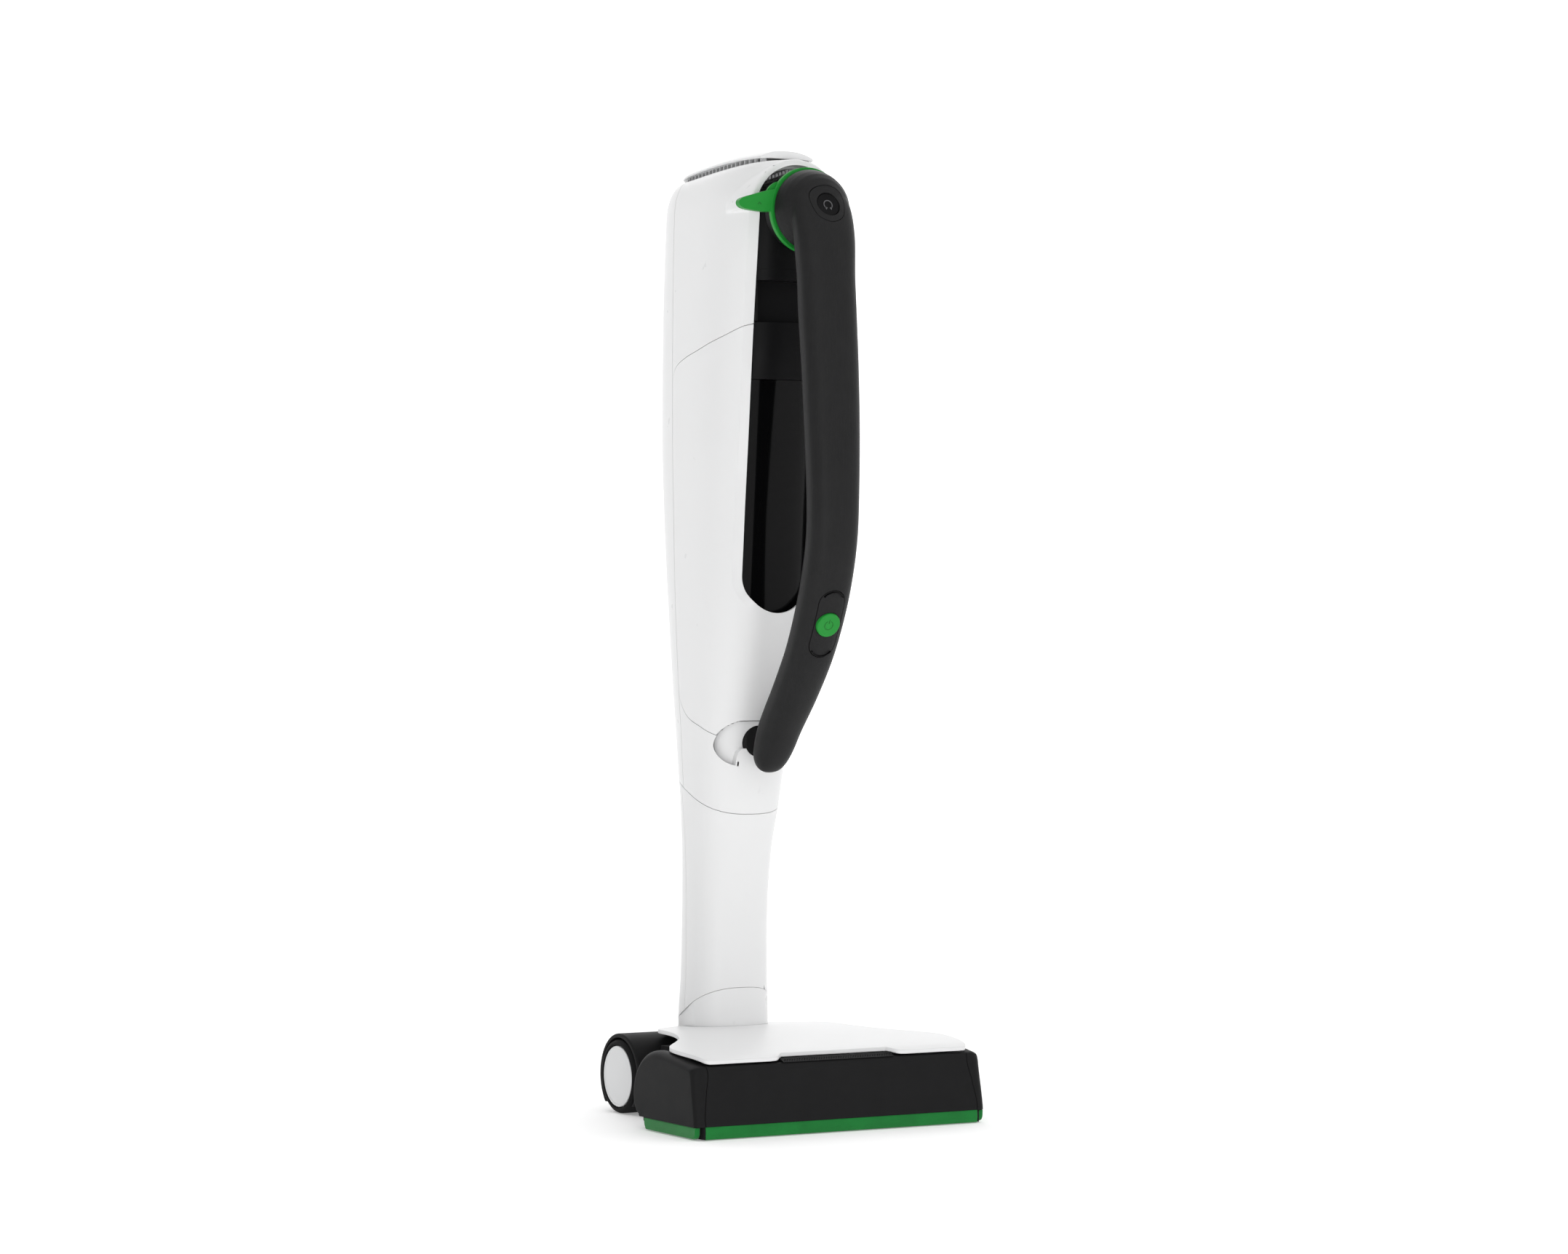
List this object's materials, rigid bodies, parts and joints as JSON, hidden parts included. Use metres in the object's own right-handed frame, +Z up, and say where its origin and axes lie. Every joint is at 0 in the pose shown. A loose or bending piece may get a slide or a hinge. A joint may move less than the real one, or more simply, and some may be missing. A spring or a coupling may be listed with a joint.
{
  "type": "cordless stick vacuum cleaner",
  "caption": "Slim upright cordless vacuum standing parked on a wide brush floor head, with its bow handle folded down in front of a tapering body.",
  "frame": {"origin": "middle of the bounding box on the floor, z = 0 where the wheels stand", "axes": "+Z up, front of the cleaner faces -Y, +X to the right seen from the front"},
  "size_m": [0.282, 0.258, 0.838],
  "materials": {
    "black": "fine grain",
    "board": "solder mask",
    "bristle": "tufted",
    "copper": "satin",
    "felt": "pile",
    "gloss": "high gloss",
    "green": "satin",
    "grey": "satin",
    "grip": "brushed grain",
    "paper": "fleece",
    "rubber": "matte",
    "steel": "brushed",
    "white": "satin"
  },
  "bodies": {
    "floor_head": {"chassis": "black", "side_cap_left": "black", "side_cap_right": "black", "front_plate": "black", "top_cover": "white", "perforated_strip": "black", "felt_front": "felt", "felt_left": "felt", "felt_right": "felt", "corner_skid_left": "rubber", "corner_skid_right": "rubber", "sole_plate": "black", "wheel_arch_left": "black", "wheel_arch_right": "black", "wheel_axle_left": "steel", "wheel_axle_right": "steel", "tilt_axle": "steel", "drive_motor": "steel", "suction_duct": "grey", "roller_bearing_left": "steel"},
    "front_roller_left": {"front_roller_left": "rubber"},
    "front_roller_right": {"front_roller_right": "rubber"},
    "wheel_left": {"wheel_tyre_left": "rubber", "wheel_hub_left": "white"},
    "wheel_right": {"wheel_tyre_right": "rubber", "wheel_hub_right": "white"},
    "brush": {"brush_roller": "bristle"},
    "knuckle": {"knuckle": "white"},
    "body": {"neck_front": "white", "neck_rear": "white", "suction_tube": "grey", "rear_housing": "white", "upper_housing": "white", "exhaust_grille": "grey", "exhaust_lid": "white", "front_channel": "black", "hinge_hub": "black", "lower_collar": "white", "battery_pack": "black", "control_board": "board", "motor_can": "steel", "motor_filter": "paper", "filter_frame": "grey", "filter_bag": "paper"},
    "body_release": {"release_button": "grey"},
    "fan": {"fan_wheel": "copper"},
    "door": {"filter_door": "white", "door_window": "gloss", "door_grip": "black"},
    "door_latch": {"latch_button": "black"},
    "handle": {"handle_shell": "grip", "handle_back": "black", "rotate_bezel": "black", "handle_board": "board"},
    "rotate_button": {"rotate_button": "gloss"},
    "control_pad": {"control_pad": "black"},
    "power_button": {"power_button": "green"},
    "lever": {"lever_ring": "green"}
  },
  "joints": [
    {"name": "wheel_left_spin", "type": "hinge", "parent": "floor_head", "child": "wheel_left", "pos_m": [-0.093, 0.088, 0.0323], "axis": [1, 0, 0], "continuous": true},
    {"name": "wheel_right_spin", "type": "hinge", "parent": "floor_head", "child": "wheel_right", "pos_m": [0.093, 0.088, 0.0323], "axis": [1, 0, 0], "continuous": true},
    {"name": "front_roller_left_spin", "type": "hinge", "parent": "floor_head", "child": "front_roller_left", "pos_m": [-0.083, -0.115, 0.005], "axis": [1, 0, 0], "continuous": true},
    {"name": "front_roller_right_spin", "type": "hinge", "parent": "floor_head", "child": "front_roller_right", "pos_m": [0.083, -0.115, 0.005], "axis": [1, 0, 0], "continuous": true},
    {"name": "brush_spin", "type": "hinge", "parent": "floor_head", "child": "brush", "pos_m": [0, -0.08, 0.027], "axis": [1, 0, 0], "continuous": true},
    {"name": "neck_tilt", "type": "hinge", "parent": "floor_head", "child": "knuckle", "pos_m": [0, 0.088, 0.0323], "axis": [-1, 0, 0], "range_deg": [0, 76]},
    {"name": "neck_swivel", "type": "hinge", "parent": "knuckle", "child": "body", "pos_m": [0, 0.083, 0.0898], "axis": [0, 0.4859, 0.874], "range_deg": [-35, 35]},
    {"name": "body_release_press", "type": "slide", "parent": "body", "child": "body_release", "axis": [0, -1, 0], "range_m": [0, 0.0018], "stiffness_N_per_m": 400, "springref_m": -0.002},
    {"name": "fan_spin", "type": "hinge", "parent": "body", "child": "fan", "pos_m": [0, 0.058, 0.6], "axis": [0, 0, 1], "continuous": true},
    {"name": "door_open", "type": "hinge", "parent": "body", "child": "door", "pos_m": [0, 0.01, 0.333], "axis": [1, 0, 0], "range_deg": [0, 6]},
    {"name": "door_latch_press", "type": "slide", "parent": "body", "child": "door_latch", "axis": [0, 1, 0], "range_m": [0, 0.002], "stiffness_N_per_m": 400, "springref_m": -0.002},
    {"name": "handle_swing", "type": "hinge", "parent": "body", "child": "handle", "pos_m": [0, -0.072, 0.781], "axis": [0, -1, 0], "range_deg": [0, 180]},
    {"name": "rotate_button_press", "type": "slide", "parent": "handle", "child": "rotate_button", "axis": [0, 0.9336, -0.3584], "range_m": [0, 0.002], "stiffness_N_per_m": 400, "springref_m": -0.002},
    {"name": "control_pad_rock", "type": "hinge", "parent": "handle", "child": "control_pad", "pos_m": [0, -0.10034, 0.42757], "axis": [1, 0, 0], "range_deg": [-2.5, 2.5], "stiffness_Nm_per_rad": 2},
    {"name": "power_button_press", "type": "slide", "parent": "handle", "child": "power_button", "axis": [0, 0.9026, 0.4305], "range_m": [0, 0.0012], "stiffness_N_per_m": 400, "springref_m": -0.002},
    {"name": "lever_lift", "type": "hinge", "parent": "body", "child": "lever", "pos_m": [0, -0.066, 0.781], "axis": [0, 1, 0], "range_deg": [0, 22], "stiffness_Nm_per_rad": 0.5, "springref_deg": -17.19}
  ]
}
